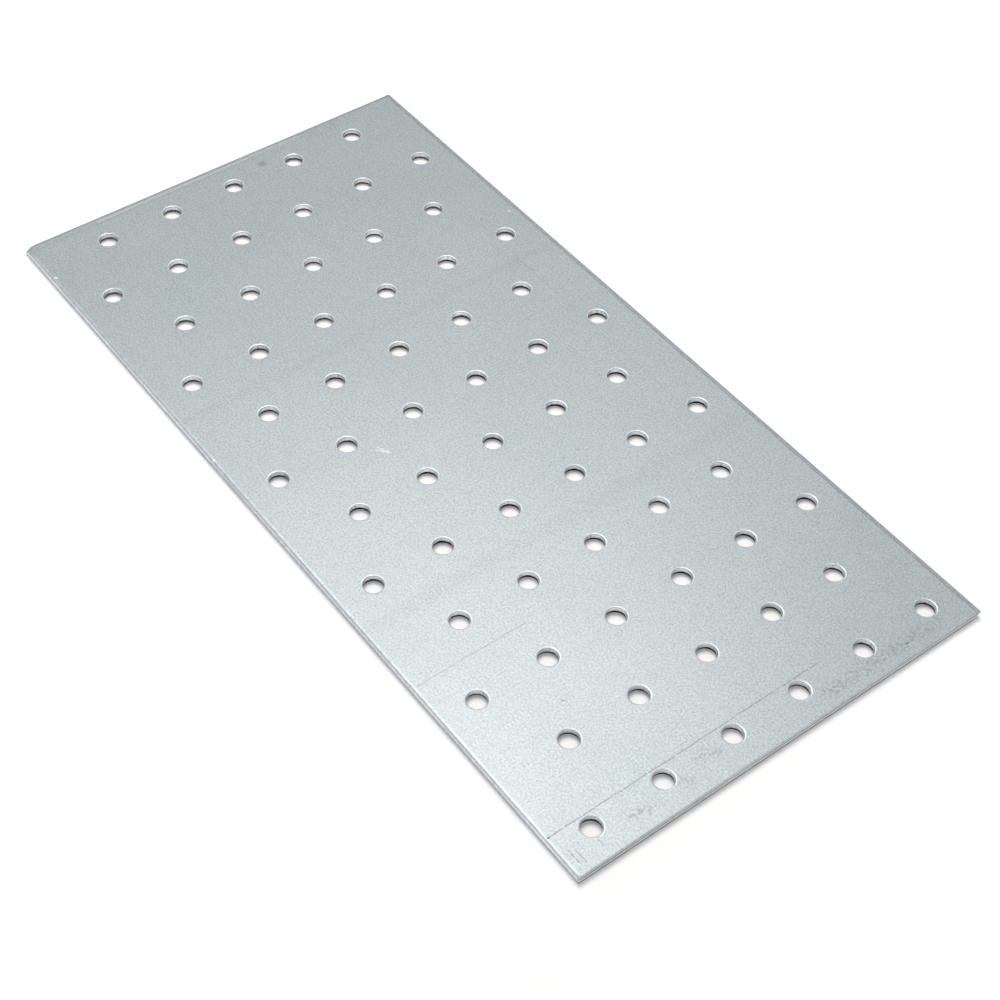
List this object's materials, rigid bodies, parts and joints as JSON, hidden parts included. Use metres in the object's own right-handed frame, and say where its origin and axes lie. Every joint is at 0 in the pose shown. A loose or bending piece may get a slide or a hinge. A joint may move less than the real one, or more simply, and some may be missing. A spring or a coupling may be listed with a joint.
{
  "type": "mending plate",
  "caption": "Flat rectangular galvanised steel mending plate with staggered rows of punched nail holes, for nailing across a joint between timbers.",
  "frame": {"origin": "centre of the plate's underside", "axes": "+X along the length, towards the end whose margin to the holes is the smaller, +Y across the width, +Z out of the face that the holes were punched from"},
  "size_m": [0.238, 0.12, 0.002],
  "materials": {
    "zinc_steel": "dull hot-dip zinc coating with a fine mottled grain"
  },
  "bodies": {
    "root": {"plate": "zinc_steel"}
  },
  "joints": []
}
